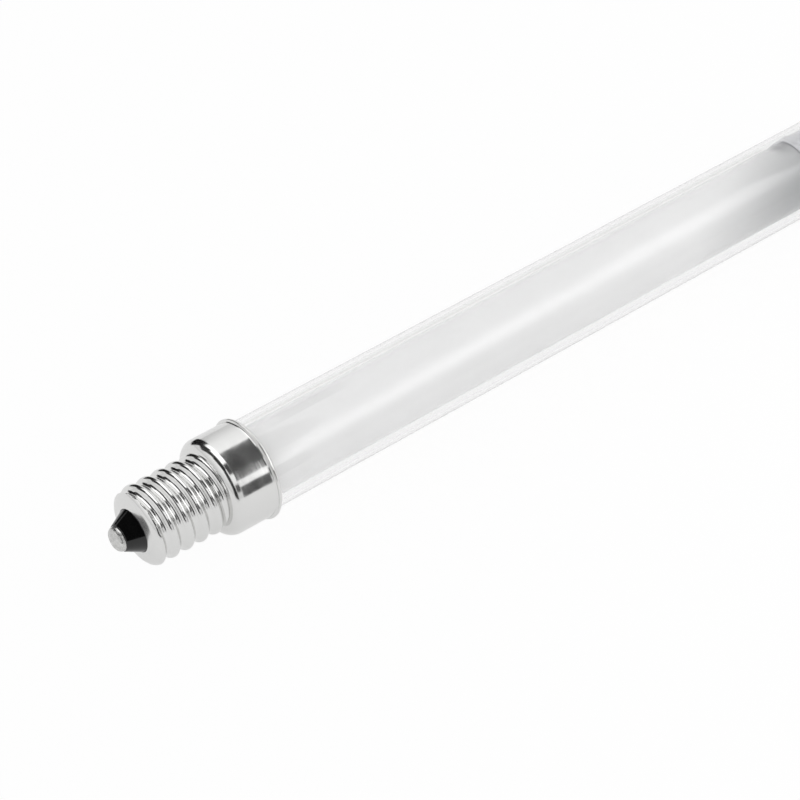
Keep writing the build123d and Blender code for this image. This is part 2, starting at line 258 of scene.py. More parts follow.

# %% [markdown]
# ## The white coat of the discharge tube
#
# The discharge tube is glass with a white powder coat baked onto its inside. The eye meets glossy glass
# first and soft white behind it, so the shader is a rough white with a smoother clear coat. Towards the far
# electrode the coat's colour darkens smoothly along the tube, sooner on the side that faces the camera, and
# a darker grey spot with an uneven edge lies beside the ferrule.

# %% Make the coated glass
DARKENING_START = 128 * MM
DARKENING_END = 166 * MM
DARKENING_SLANT = 1.6
SPOT_START = 150.6 * MM
SPOT_FULL = 152.4 * MM
SPOT_SIDE_START = -1.5 * MM
SPOT_SIDE_FULL = 2 * MM
SPOT_RAGGED = 4 * MM
COAT_CLOUD = 9 * MM
coated_glass, tree, shader = new_material(
    "glass coated white inside", Roughness=0.5, IOR=1.5, Coat_Weight=1.0, Coat_Roughness=0.18, Coat_IOR=1.5
)
place = add_node(tree, "ShaderNodeTexCoord")
split = add_node(tree, "ShaderNodeSeparateXYZ", {0: place.outputs["Object"]})
clouds = add_node(
    tree,
    "ShaderNodeTexNoise",
    {"Vector": place.outputs["Object"], "Scale": 1 / COAT_CLOUD, "Detail": 2.0},
)
white_coat = add_node(
    tree,
    "ShaderNodeMix",
    {"Factor": clouds.outputs[0], "A": linear("#F5F5F5"), "B": linear("#FBFBFB")},
    data_type="RGBA",
)
# The camera is on the -Y side, and the coat's colour turns grey sooner on that side towards the far end, so
# the darkening follows X less a share of Y.
reach = add_node(
    tree,
    "ShaderNodeMath",
    {0: split.outputs["Y"], 1: -DARKENING_SLANT, 2: split.outputs["X"]},
    operation="MULTIPLY_ADD",
)
far_darkening = add_node(
    tree,
    "ShaderNodeMapRange",
    {"Value": reach.outputs[0], "From Min": DARKENING_START, "From Max": DARKENING_END},
    interpolation_type="SMOOTHSTEP",
)
darkened_coat = add_node(
    tree,
    "ShaderNodeMix",
    {"Factor": far_darkening.outputs[0], "A": white_coat.outputs["Result"], "B": linear("#97999B")},
    data_type="RGBA",
)
# The spot lies on the +Y side, away from the camera, and the clouds make its edge uneven.
spot_edge = add_node(
    tree,
    "ShaderNodeMath",
    {0: clouds.outputs[0], 1: SPOT_RAGGED, 2: split.outputs["X"]},
    operation="MULTIPLY_ADD",
)
spot_along = add_node(
    tree,
    "ShaderNodeMapRange",
    {"Value": spot_edge.outputs[0], "From Min": SPOT_START, "From Max": SPOT_FULL},
)
spot_across = add_node(
    tree,
    "ShaderNodeMapRange",
    {"Value": split.outputs["Y"], "From Min": SPOT_SIDE_START, "From Max": SPOT_SIDE_FULL},
)
# The spot is a darker grey in the coat's colour, strongest on the +Y side just before the ferrule.
spot = add_node(
    tree, "ShaderNodeMath", {0: spot_along.outputs[0], 1: spot_across.outputs[0]}, operation="MULTIPLY"
)
spotted_coat = add_node(
    tree,
    "ShaderNodeMix",
    {"Factor": spot.outputs[0], "A": darkened_coat.outputs["Result"], "B": linear("#828286")},
    data_type="RGBA",
)
tree.links.new(spotted_coat.outputs["Result"], shader.inputs["Base Color"])
print("stain from", round(DARKENING_START / MM), "to", round(DARKENING_END / MM), "mm")

# %% [markdown]
# ## The hidden metals and ceramics
#
# Inside the cap and behind the coat are drawn nickel wire and cups, a brass eyelet, a spring-steel ferrule,
# a steatite spacer, baked cement and a drop of mercury. Most show only through the clear end, or not at
# all, but each still has its own surface. They differ only in two tones, a grain, a relief and a gloss,
# so one function makes them all.

# %% Make the small parts' finishes
def grained(name, dark, light, grain, bump, **principled):
    """A material whose colour varies between two tones over grains of one size, with a matching bump."""
    material, tree, shader = new_material(name, **principled)
    place = add_node(tree, "ShaderNodeTexCoord")
    noise = add_node(
        tree, "ShaderNodeTexNoise", {"Vector": place.outputs["Object"], "Scale": 1 / grain, "Detail": 4.0}
    )
    tones = {"Factor": noise.outputs[0], "A": linear(dark), "B": linear(light)}
    tone = add_node(tree, "ShaderNodeMix", tones, data_type="RGBA")
    tree.links.new(tone.outputs["Result"], shader.inputs["Base Color"])
    relief = add_node(
        tree, "ShaderNodeBump", {"Height": noise.outputs[0], "Strength": bump, "Distance": 0.05 * MM}
    )
    tree.links.new(relief.outputs[0], shader.inputs["Normal"])
    return material


nickel_wire = grained("drawn nickel", "#8F8B84", "#B9B5AE", 0.4 * MM, 0.2, Metallic=1.0, Roughness=0.3)
brass = grained("bare brass", "#B08D4C", "#D4B06A", 0.5 * MM, 0.2, Metallic=1.0, Roughness=0.28)
spring_steel = grained(
    "rolled spring steel", "#BFC0C3", "#E2E2E6", 0.9 * MM, 0.12, Metallic=1.0, Roughness=0.2
)
steatite = grained("fired steatite", "#DAD6CB", "#EEEBE2", 0.3 * MM, 0.4, Roughness=0.7)
cement = grained("baked capping cement", "#8E8069", "#B3A68E", 0.4 * MM, 0.9, Roughness=0.9)
mercury = grained("liquid mercury", "#DADCDD", "#E6E8E9", 2 * MM, 0.02, Metallic=1.0, Roughness=0.02)
print("finishes:", len(bpy.data.materials))

# %% [markdown]
# ## Turned and blown pieces
#
# Most pieces are solids of revolution: glass tube, a pressed cone, a domed contact. Blender's Spin tool or
# a Screw modifier would do it, but a short ring builder gives full control of where points go, closes the
# poles, and leaves nothing to apply. A profile is a list of (x, radius) pairs in millimetres. A long
# straight run gets extra rings, because smooth shading tilts the light on a long face beside an arc.

# %% Build solids of revolution
WELD_DISTANCE = 0.0001 * MM
SHARP_ANGLE = radians(35)
ON_AXIS = 1e-6


def even(start, end, count):
    """Values spaced evenly from start towards end, in count steps, without the end."""
    return [start + (end - start) * k / count for k in range(count)]


def arc(centre_x, centre_r, radius, start, end, count=12):
    """Points on an arc in the (x, radius) plane, from start to end in degrees, both ends included."""
    angles = [radians(start + (end - start) * k / count) for k in range(count + 1)]
    return [(centre_x + radius * cos(a), centre_r + radius * sin(a)) for a in angles]


def finish_mesh(bm, name, material):
    """Turns a closed bmesh into a smooth piece that rides on the lamp, with sharp edges kept sharp."""
    bmesh.ops.remove_doubles(bm, verts=bm.verts, dist=WELD_DISTANCE)
    if bm.calc_volume(signed=True) < 0:
        bmesh.ops.reverse_faces(bm, faces=bm.faces)
    mesh = bpy.data.meshes.new(name)
    bm.to_mesh(mesh)
    bm.free()
    mesh.shade_smooth()
    mesh.set_sharp_from_angle(angle=SHARP_ANGLE)
    mesh.materials.append(material)
    piece = bpy.data.objects.new(name, mesh)
    bpy.context.scene.collection.objects.link(piece)
    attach(piece, "root")
    return piece


def turned(name, profile, material, steps=128):
    """A closed solid of revolution about X from a closed loop of (x, radius) points in millimetres."""
    bm = bmesh.new()
    rings = []
    for x, r in profile:
        if r < ON_AXIS:
            rings.append([bm.verts.new((x * MM, 0, 0))] * steps)
            continue
        angles = [2 * pi * k / steps for k in range(steps)]
        rings.append([bm.verts.new((x * MM, r * MM * cos(a), r * MM * sin(a))) for a in angles])
    for ring, following in zip(rings, rings[1:] + rings[:1]):
        for k in range(steps):
            corners = [ring[k], ring[(k + 1) % steps], following[(k + 1) % steps], following[k]]
            distinct = list(dict.fromkeys(corners))
            if len(distinct) > 2:
                bm.faces.new(distinct)
    return finish_mesh(bm, name, material)


print("a quarter arc has", len(arc(0, 0, 1, 0, 90)), "points")

# %% [markdown]
# ## The clear jacket
#
# A length of glass tube, closed to a round end in the flame. Both walls are modelled, because the bright
# and grey lines along a real tube's edges come from light bending twice through its 0.8 mm wall.

# %% Blow the jacket
JACKET_R = 8.0
JACKET_WALL = 0.8
JACKET_STEPS = 24
JACKET_STEPS_ROUND = 256
jacket_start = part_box("outer_tube")[0][0] / MM
jacket_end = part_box("outer_tube")[1][0] / MM
dome_x = jacket_end - JACKET_R
jacket_bore = JACKET_R - JACKET_WALL
stations = even(jacket_start, dome_x, JACKET_STEPS)
jacket_profile = [(x, JACKET_R) for x in stations]
jacket_profile += arc(dome_x, 0, JACKET_R, 90, 0, JACKET_STEPS)
jacket_profile += arc(dome_x, 0, jacket_bore, 0, 90, JACKET_STEPS)
jacket_profile += [(x, jacket_bore) for x in reversed(stations)]
jacket = turned("clear_jacket", jacket_profile, clear_glass, JACKET_STEPS_ROUND)
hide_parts("outer_tube")
print("jacket runs from", round(jacket_start, 2), "to", round(jacket_end, 2), "mm")

# %% [markdown]
# ## The white discharge tube
#
# A thinner tube with rounded shoulders at both ends, where its glass stems are fused in.

# %% Draw the discharge tube
DISCHARGE_R = 6.35
DISCHARGE_WALL = 0.7
CORNER_R = 1.4
MOUTH_R = 4.0
TUBE_STEPS = 48
tube_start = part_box("discharge_tube")[0][0] / MM
tube_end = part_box("discharge_tube")[1][0] / MM
inner_corner = CORNER_R - DISCHARGE_WALL
near_x = tube_start + CORNER_R
far_x = tube_end - CORNER_R
corner_r = DISCHARGE_R - CORNER_R
along_tube = even(near_x, far_x, TUBE_STEPS)[1:]
outside = [(tube_start, MOUTH_R)] + arc(near_x, corner_r, CORNER_R, 180, 90)
outside += [(x, DISCHARGE_R) for x in along_tube]
outside += arc(far_x, corner_r, CORNER_R, 90, 0) + [(tube_end, MOUTH_R)]
inside = [(tube_end - DISCHARGE_WALL, MOUTH_R)] + arc(far_x, corner_r, inner_corner, 0, 90)
inside += [(x, DISCHARGE_R - DISCHARGE_WALL) for x in reversed(along_tube)]
inside += arc(near_x, corner_r, inner_corner, 90, 180) + [(tube_start + DISCHARGE_WALL, MOUTH_R)]
discharge = turned("white_discharge_tube", outside + inside, coated_glass)
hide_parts("discharge_tube")
print("discharge tube is", round(tube_end - tube_start, 1), "mm long")

# %% [markdown]
# ## The rolled screw shell
#
# The shell follows a rule: its radius depends on how far along the cap and how far round a point is. That
# is a job for Geometry Nodes. A plain line of points carries the wall's outline, outside and then inside,
# and a grid is wrapped round the axis from it. Crest and root of the rounded thread are arcs of one radius.
# Each point of the outline also carries a limit, the largest radius that the thread may have there: the
# nose's rounding trims the first turn with it, as the forming die does on the real cap.

# %% Set the shell's sizes
SHEET = 0.3
PITCH = 2.822
ROUND_R = 0.822
MAJOR_R = 6.9
THREAD_START = 3.67
NOSE_X = 4.1
NOSE_HOLE_R = 3.9
NOSE_SLOPE = radians(10)
NOSE_ROUND_R = 1.5
SKIRT_X = 20.4
SHOULDER_R = 2.0
SKIRT_R = 8.65
RIM_X = 27.3
BEAD_RISE = 0.44
BEAD_HEEL_R = 0.3
BEAD_FLAT = 0.1
MOUTH_EASE = 0.04
thread_depth = 2 * ROUND_R - sqrt((2 * ROUND_R) ** 2 - (PITCH / 2) ** 2)
root_r = MAJOR_R - thread_depth
print("thread depth", round(thread_depth, 3), "mm")

# %% Draw one side of the sheet
STEPS_A_PITCH = 26
FACE_STEPS = 8
NOSE_STEPS = 18
SHOULDER_STEPS = 32


def nose_cone_x(radius, inset):
    """Where the nose's shallow cone, moved inwards by inset, reaches a radius."""
    return NOSE_X + (radius - NOSE_HOLE_R) * tan(NOSE_SLOPE) + inset / cos(NOSE_SLOPE)


def shell_side(inset):
    """One side of the wall from the nose's hole to the bead: (x, least radius, thread's limit) triples."""
    crest_r = MAJOR_R - inset
    side_r = SKIRT_R - inset
    round_r = NOSE_ROUND_R - inset
    turn_r = crest_r - round_r * (1 - sin(NOSE_SLOPE))
    round_x = nose_cone_x(turn_r, inset) + round_r * cos(NOSE_SLOPE)
    shoulder_r = SHOULDER_R - inset
    shoulder_x = SKIRT_X - shoulder_r
    side = [(nose_cone_x(r, inset), r, 0) for r in even(NOSE_HOLE_R, turn_r, FACE_STEPS)]
    nose_from = 180 - degrees(NOSE_SLOPE)
    nose_round = arc(round_x, crest_r - round_r, round_r, nose_from, 90, NOSE_STEPS)
    side += [(x, 0, r) for x, r in nose_round]
    count = ceil((shoulder_x - round_x) / (PITCH / STEPS_A_PITCH))
    side += [(x, 0, crest_r) for x in even(round_x, shoulder_x, count)[1:]]
    # The shoulder starts at the thread's root, and the thread runs out into it.
    shoulder_face = even(root_r - inset, side_r - shoulder_r, FACE_STEPS)
    side += [(shoulder_x, r, crest_r) for r in shoulder_face]
    shoulder = arc(SKIRT_X, side_r - shoulder_r, shoulder_r, 180, 90, SHOULDER_STEPS)
    side += [(x, r, crest_r) for x, r in shoulder]
    return side


print("points on the sheet's outside, without the bead:", len(shell_side(0)))

# %% Turn the bead and join the outline
# The rim's sheet is turned back on itself, so the bead's outside is round and its bore stays plain.
SKIRT_STEPS = 16
toe = BEAD_RISE - BEAD_HEEL_R
toe_x = RIM_X - BEAD_RISE - BEAD_FLAT
bead = arc(toe_x - toe - BEAD_HEEL_R, SKIRT_R + BEAD_HEEL_R, BEAD_HEEL_R, -90, 0, count=6)
bead += arc(toe_x, SKIRT_R + BEAD_HEEL_R, toe, 180, 90, count=8)[1:]
bead += arc(RIM_X - BEAD_RISE, SKIRT_R, BEAD_RISE, 90, 0)
bead += [(RIM_X, SKIRT_R - SHEET + MOUTH_EASE), (RIM_X - MOUTH_EASE, SKIRT_R - SHEET)]
heel_x = bead[0][0]
along_skirt = even(SKIRT_X, heel_x, SKIRT_STEPS)[1:]
outer_side = shell_side(0) + [(x, SKIRT_R, 0) for x in along_skirt] + [(x, r, 0) for x, r in bead]
inner_side = shell_side(SHEET) + [(x, SKIRT_R - SHEET, 0) for x in along_skirt]
outline = outer_side + inner_side[::-1]
outline_mesh = bpy.data.meshes.new("screw_shell_plated")
outline_mesh.from_pydata([(x, r, 0) for x, r, limit in outline], [], [])
insets = outline_mesh.attributes.new("inset", "FLOAT", "POINT")
insets.data.foreach_set("value", [0.0] * len(outer_side) + [SHEET] * len(inner_side))
limits = outline_mesh.attributes.new("limit", "FLOAT", "POINT")
limits.data.foreach_set("value", [float(limit) for x, r, limit in outline])
shell = bpy.data.objects.new("screw_shell_plated", outline_mesh)
bpy.context.scene.collection.objects.link(shell)
print("outline points:", len(outline))

# %% [markdown]
# The tree makes a grid with one row for each point of the outline and one column for each step round. The
# first row comes again at the end and closes the wall, and so does the first column.

# %% Make the grid
tree = bpy.data.node_groups.new("rolled screw shell", "GeometryNodeTree")
tree.interface.new_socket("Outline", in_out="INPUT", socket_type="NodeSocketGeometry")
sizes = {
    "Pitch": PITCH,
    "Round radius": ROUND_R,
    "Root radius": root_r,
    "Thread start": THREAD_START,
}
for name in sizes:
    tree.interface.new_socket(name, in_out="INPUT", socket_type="NodeSocketFloat")
tree.interface.new_socket("Steps round", in_out="INPUT", socket_type="NodeSocketInt")
tree.interface.new_socket("Plating", in_out="INPUT", socket_type="NodeSocketMaterial")
tree.interface.new_socket("Shell", in_out="OUTPUT", socket_type="NodeSocketGeometry")
given = add_node(tree, "NodeGroupInput")
made = {socket.name: socket for socket in given.outputs}
count = add_node(tree, "GeometryNodeAttributeDomainSize", {0: made["Outline"]}, component="MESH")
made["stations"] = add_node(
    tree, "ShaderNodeMath", {0: count.outputs["Point Count"], 1: 1.0}, operation="ADD"
).outputs[0]
made["round"] = add_node(
    tree, "ShaderNodeMath", {0: made["Steps round"], 1: 1.0}, operation="ADD"
).outputs[0]
grid = add_node(
    tree, "GeometryNodeMeshGrid", {"Vertices X": made["stations"], "Vertices Y": made["round"]}
)
print("inputs of the shell's tree:", [socket.name for socket in given.outputs if socket.name])

# %% Read the outline at each point of the grid
made["index"] = add_node(tree, "GeometryNodeInputIndex").outputs[0]
made["row"] = add_node(
    tree, "ShaderNodeMath", {0: made["index"], 1: made["round"]}, operation="DIVIDE"
).outputs[0]
made["station"] = add_node(tree, "ShaderNodeMath", {0: made["row"]}, operation="FLOOR").outputs[0]
made["point"] = add_node(
    tree, "ShaderNodeMath", {0: made["station"], 1: count.outputs["Point Count"]}, operation="MODULO"
).outputs[0]
spot = add_node(
    tree,
    "GeometryNodeSampleIndex",
    {"Geometry": made["Outline"], "Index": made["point"]},
    data_type="FLOAT_VECTOR",
)
tree.links.new(add_node(tree, "GeometryNodeInputPosition").outputs[0], spot.inputs["Value"])
for attribute in ("inset", "limit"):
    carried = add_node(
        tree,
        "GeometryNodeSampleIndex",
        {"Geometry": made["Outline"], "Index": made["point"]},
        data_type="FLOAT",
    )
    named = add_node(tree, "GeometryNodeInputNamedAttribute", {"Name": attribute}, data_type="FLOAT")
    tree.links.new(named.outputs[0], carried.inputs["Value"])
    made[attribute] = carried.outputs[0]
spread = add_node(tree, "ShaderNodeSeparateXYZ", {0: spot.outputs[0]})
made["x"] = spread.outputs["X"]
made["least radius"] = spread.outputs["Y"]
print("values at hand:", sorted(made))

# %% [markdown]
# The thread's rule is a table. Each row names a result, the sum that makes it, and what goes in, so it can
# be read from top to bottom like the formula on paper.

# %% Roll the thread by its rule
thread_rule = [
    ("step", "MODULO", "index", "round"),
    ("share round", "DIVIDE", "step", "Steps round"),
    ("angle", "MULTIPLY", "share round", 2 * pi),
    ("run", "SUBTRACT", "x", "Thread start"),
    ("turns", "DIVIDE", "run", "Pitch"),
    ("phase", "SUBTRACT", "turns", "share round"),
    ("nearest crest", "ROUND", "phase"),
    ("off crest", "SUBTRACT", "phase", "nearest crest"),
    ("distance", "ABSOLUTE", "off crest"),
    ("along", "MULTIPLY", "distance", "Pitch"),
    ("crest arc", "SUBTRACT", "Round radius", "inset"),
    ("root arc", "ADD", "Round radius", "inset"),
    ("half pitch", "MULTIPLY", "Pitch", 0.5),
    ("crest arc squared", "MULTIPLY", "crest arc", "crest arc"),
    ("along squared", "MULTIPLY", "along", "along"),
    ("crest square", "SUBTRACT", "crest arc squared", "along squared"),
    ("crest drop", "SQRT", "crest square"),
    ("crest centre", "SUBTRACT", "Root radius", "Round radius"),
    ("crest lift", "ADD", "crest centre", thread_depth),
    ("crest radius", "ADD", "crest lift", "crest drop"),
    ("from root", "SUBTRACT", "half pitch", "along"),
    ("root arc squared", "MULTIPLY", "root arc", "root arc"),
    ("from root squared", "MULTIPLY", "from root", "from root"),
    ("root square", "SUBTRACT", "root arc squared", "from root squared"),
    ("root rise", "SQRT", "root square"),
    ("root centre", "ADD", "Root radius", "Round radius"),
    ("valley radius", "SUBTRACT", "root centre", "root rise"),
    ("both arcs", "MULTIPLY", "Round radius", 2.0),
    ("arc share", "DIVIDE", "crest arc", "both arcs"),
    ("crest reach", "MULTIPLY", "half pitch", "arc share"),
    ("on crest", "LESS_THAN", "along", "crest reach"),
    ("crest less valley", "SUBTRACT", "crest radius", "valley radius"),
    ("crest part", "MULTIPLY", "crest less valley", "on crest"),
    ("thread radius", "ADD", "valley radius", "crest part"),
    ("rolled radius", "MINIMUM", "thread radius", "limit"),
    ("radius", "MAXIMUM", "least radius", "rolled radius"),
    ("cosine", "COSINE", "angle"),
    ("sine", "SINE", "angle"),
    ("y", "MULTIPLY", "radius", "cosine"),
    ("z", "MULTIPLY", "radius", "sine"),
]
for result, operation, *operands in thread_rule:
    sums = {k: made[o] if isinstance(o, str) else o for k, o in enumerate(operands)}
    made[result] = add_node(tree, "ShaderNodeMath", sums, operation=operation).outputs[0]
print("sums in the thread's rule:", len(thread_rule))

# %% Place the grid's points and plate the shell
SEAM_WELD = 0.001 * MM
point = add_node(tree, "ShaderNodeCombineXYZ", {0: made["x"], 1: made["y"], 2: made["z"]})
metres = add_node(tree, "ShaderNodeVectorMath", {0: point.outputs[0], "Scale": MM}, operation="SCALE")
wrapped = add_node(
    tree, "GeometryNodeSetPosition", {"Geometry": grid.outputs["Mesh"], "Position": metres.outputs[0]}
)
closed = add_node(
    tree, "GeometryNodeMergeByDistance", {"Geometry": wrapped.outputs[0], "Distance": SEAM_WELD}
)
plain = add_node(tree, "GeometryNodeRealizeInstances", {"Geometry": closed.outputs[0]})
plated = add_node(
    tree, "GeometryNodeSetMaterial", {"Geometry": plain.outputs[0], "Material": made["Plating"]}
)
add_node(tree, "NodeGroupOutput", {0: plated.outputs[0]})
print("nodes in the shell's tree:", len(tree.nodes))

# %% [markdown]
# A modifier's inputs are set by each socket's identifier, before the object is first evaluated. The result
# is copied to a plain mesh and the modifier goes, so that nothing stays live on the finished piece.

# %% Evaluate the shell and keep the plain mesh
STEPS_ROUND = 160
SHELL_SHARP_ANGLE = radians(50)


def bake_nodes(piece, tree, values):
    """Runs a Geometry Nodes tree on a piece with these input values, and keeps the result as its mesh."""
    modifier = piece.modifiers.new("nodes", "NODES")
    modifier.node_group = tree
    for socket in tree.interface.items_tree:
        if socket.item_type == "SOCKET" and socket.in_out == "INPUT" and socket.name in values:
            modifier[socket.identifier] = values[socket.name]
    bpy.context.view_layer.update()
    evaluated = piece.evaluated_get(bpy.context.evaluated_depsgraph_get())
    mesh = bpy.data.meshes.new_from_object(evaluated)
    piece.modifiers.remove(modifier)
    piece.data = mesh


bake_nodes(shell, tree, {**sizes, "Steps round": STEPS_ROUND, "Plating": nickel_plate})
shell_bm = bmesh.new()
shell_bm.from_mesh(shell.data)
if shell_bm.calc_volume(signed=True) < 0:
    bmesh.ops.reverse_faces(shell_bm, faces=shell_bm.faces)
open_edges = sum(1 for e in shell_bm.edges if len(e.link_faces) != 2)
shell_bm.to_mesh(shell.data)
print("shell volume mm3:", round(shell_bm.calc_volume() / MM**3, 1), "open edges:", open_edges)
shell_bm.free()
shell.data.shade_smooth()
shell.data.set_sharp_from_angle(angle=SHELL_SHARP_ANGLE)
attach(shell, "root")
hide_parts("screw_shell")

# %% [markdown]
# ## Insulator and contact
#
# The black glass cone is pressed round the contact, and the solder is a low dome that froze on the eyelet.
# The cone's small edges are rounded, because molten glass has no sharp corners.

# %% Press the insulator
CONTACT_R = 2.2
CROWN_R = 5.0
CROWN_SPAN = radians(17)
CONE_TIP_R = 2.35
CONE_EASE = 0.1
CONE_STEPS = 20
SEAT_R = 3.85
COLLAR_R = 5.5
BACK_X = 7.6
FUNNEL_R = 4.0
FUNNEL_DEPTH = 1.6
EYELET_R = 2.0
EYELET_SHEET = 0.35
STEM_R = 1.0
BORE_R = 0.65
EYELET_DEPTH = 2.0
edge_r = (CONTACT_R - CROWN_R * sin(CROWN_SPAN)) / (1 - sin(CROWN_SPAN))
contact_h = CROWN_R * (1 - cos(CROWN_SPAN)) + edge_r * cos(CROWN_SPAN)
eyelet_back = contact_h + EYELET_SHEET
stem_back = eyelet_back + EYELET_DEPTH
funnel_x = BACK_X - FUNNEL_DEPTH
cone_x = contact_h + CONE_EASE
cone_r = CONE_TIP_R + CONE_EASE / 2
insulator_profile = [
    (eyelet_back, STEM_R),
    (eyelet_back, EYELET_R),
    (contact_h, EYELET_R),
    (contact_h, CONE_TIP_R - CONE_EASE),
    (contact_h + 0.3 * CONE_EASE, CONE_TIP_R - 0.3 * CONE_EASE),
]
insulator_profile += zip(even(cone_x, NOSE_X, CONE_STEPS), even(cone_r, SEAT_R, CONE_STEPS))
insulator_profile += [
    (NOSE_X, SEAT_R),
    (nose_cone_x(SEAT_R, SHEET), SEAT_R),
    (nose_cone_x(COLLAR_R, SHEET), COLLAR_R),
    (BACK_X, COLLAR_R),
    (BACK_X, FUNNEL_R),
    (funnel_x, BORE_R),
    (stem_back, BORE_R),
    (stem_back, STEM_R),
]
insulator = turned("pressed_insulator", insulator_profile, black_glass)
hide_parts("cap_insulator")
print("insulator runs from", round(contact_h, 2), "to", BACK_X, "mm")

# %% Lay the solder contact
LEAD_R = 0.2
LEAD_TIP_X = 0.7
PLUG_DEPTH = 1.35
plug_x = contact_h + PLUG_DEPTH
crown_edge = 180 - degrees(CROWN_SPAN)
contact_profile = arc(CROWN_R, 0, CROWN_R, 180, crown_edge)
contact_profile += arc(contact_h, CONTACT_R - edge_r, edge_r, crown_edge, 90, count=16)[1:]
contact_profile += [
    (contact_h, BORE_R),
    (plug_x, BORE_R),
    (plug_x, LEAD_R),
    (LEAD_TIP_X, LEAD_R),
    (LEAD_TIP_X, 0),
]
contact = turned("solder_contact", contact_profile, solder, steps=96)
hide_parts("contact_solder")
print("contact stands", round(contact_h, 2), "mm proud")

# %% [markdown]
# ## Finishes for the CAD pieces that stay
#
# The pieces inside keep their CAD meshes, whose shape is right, and take their real materials.

# %% Dress the inner pieces
FINISHES = {
    "contact_eyelet": brass,
    "capping_cement": cement,
    "jacket_stem": clear_glass,
    "near_spacer": steatite,
    "near_stem": clear_glass,
    "far_stem": clear_glass,
    "near_electrode": nickel_wire,
    "far_electrode": nickel_wire,
    "near_lead": nickel_wire,
    "far_lead": nickel_wire,
    "contact_lead": nickel_wire,
    "side_lead": nickel_wire,
    "return_lead": nickel_wire,
    "return_sleeve": clear_glass,
    "far_ferrule": spring_steel,
    "rim_solder": solder,
    "mercury_drop": mercury,
}
for node, material in FINISHES.items():
    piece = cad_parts[node]
    piece.data.materials.clear()
    piece.data.materials.append(material)
print("dressed:", len(FINISHES))

# %% [markdown]
# ## The studio
#
# The lamp lies on white paper in a white room. Shiny metal shows the room, so mirror reflections see it a
# little dimmer near the horizon than overhead, which gives the nickel its greys. Light Path lets the
# camera, and whatever is seen through glass, see plain white, while the floor still takes the lamp's faint
# shadow. The white coat sits behind the jacket: a ray that has bounced off it passes through that glass,
# so the strength which such a ray meets sets how bright the coat is.

# %% Set the studio's levels and its helpers
FLOOR_Z = -9.16
VIEW_SHARE = 0.96
MIRROR_SHARE = 0.5
ROOM_LIGHT = 0.78
COAT_LIGHT = 1.56
MIRROR_LOW = 0.68
MIRROR_HIGH = 1.2
MIRROR_HIGH_FROM = 0.9
FLOOR_HALF = 3000


def studio_plane(name, centre, half_length, half_width, facing, material, lean=0.0):
    """A plane along X that faces a direction in the YZ plane, in degrees; lean shifts its ends sideways."""
    normal = Vector((0, cos(radians(facing)), sin(radians(facing))))
    side = Vector((0, -normal.z, normal.y))
    along = Vector((1, 0, 0))
    points = []
    for a, b in ((-1, -1), (1, -1), (1, 1), (-1, 1)):
        corner = Vector(centre) + along * half_length * a + side * (half_width * b + lean * a)
        points.append(corner * MM)
    mesh = bpy.data.meshes.new(name)
    mesh.from_pydata(points, [], [(0, 1, 2, 3)])
    mesh.uv_layers.new(name="share").data.foreach_set("uv", [0, 0, 1, 0, 1, 1, 0, 1])
    mesh.materials.append(material)
    plane = bpy.data.objects.new(name, mesh)
    bpy.context.scene.collection.objects.link(plane)
    return plane


def white_seen(tree):
    """Is Glossy Ray, a 1 for the camera's rays and those through glass, and the white that these see."""
    rays = add_node(tree, "ShaderNodeLightPath")
    seen = add_node(
        tree,
        "ShaderNodeMath",
        {0: rays.outputs["Is Camera Ray"], 1: rays.outputs["Is Transmission Ray"]},
        operation="MAXIMUM",
    )
    from_coat = add_node(
        tree, "ShaderNodeMath", {0: rays.outputs["Diffuse Depth"], 1: 1.0}, operation="MINIMUM"
    )
    white = add_node(
        tree,
        "ShaderNodeMath",
        {0: from_coat.outputs[0], 1: COAT_LIGHT - 1.0, 2: 1.0},
        operation="MULTIPLY_ADD",
    )
    return rays.outputs["Is Glossy Ray"], seen.outputs[0], white.outputs[0]


print("coat light", COAT_LIGHT, "room light", ROOM_LIGHT)

# %% Lay the paper
floor_paper, tree, shader = new_material(
    "white studio paper", Base_Color=linear("#F8F8F8"), Roughness=0.9
)
glossy, seen, white = white_seen(tree)
mirror_share = add_node(tree, "ShaderNodeMath", {0: glossy, 1: MIRROR_SHARE}, operation="MULTIPLY")
share = add_node(
    tree,
    "ShaderNodeMath",
    {0: seen, 1: VIEW_SHARE, 2: mirror_share.outputs[0]},
    operation="MULTIPLY_ADD",
)
glow = add_node(tree, "ShaderNodeEmission", {"Color": (1, 1, 1, 1), "Strength": white})
blend = add_node(
    tree, "ShaderNodeMixShader", {0: share.outputs[0], 1: shader.outputs[0], 2: glow.outputs[0]}
)
output = next(n for n in tree.nodes if n.type == "OUTPUT_MATERIAL")
tree.links.new(blend.outputs[0], output.inputs["Surface"])
studio_plane("floor", (0, 0, FLOOR_Z), FLOOR_HALF, FLOOR_HALF, 90, floor_paper)
print("floor at", FLOOR_Z, "mm")

# %% Paint the room
world = bpy.data.worlds.new("white room")
bpy.context.scene.world = world
world.use_nodes = True
tree = world.node_tree
tree.nodes.clear()
glossy, seen, white = white_seen(tree)
direction = add_node(tree, "ShaderNodeTexCoord")
height = add_node(tree, "ShaderNodeSeparateXYZ", {0: direction.outputs["Generated"]})
mirrored = add_node(
    tree,
    "ShaderNodeMapRange",
    {
        "Value": height.outputs["Z"],
        "From Min": 0.0,
        "From Max": MIRROR_HIGH_FROM,
        "To Min": MIRROR_LOW,
        "To Max": MIRROR_HIGH,
    },
)
dim = add_node(tree, "ShaderNodeMix", {"Factor": glossy, 2: ROOM_LIGHT, 3: mirrored.outputs[0]})
level = add_node(tree, "ShaderNodeMix", {"Factor": seen, 2: dim.outputs[0], 3: white})
room = add_node(tree, "ShaderNodeBackground", {"Color": (1, 1, 1, 1), "Strength": level.outputs[0]})
add_node(tree, "ShaderNodeOutputWorld", {"Surface": room.outputs[0]})
bpy.context.scene.view_settings.view_transform = "Standard"
print("mirrors see", MIRROR_LOW, "at the horizon and", MIRROR_HIGH, "overhead")

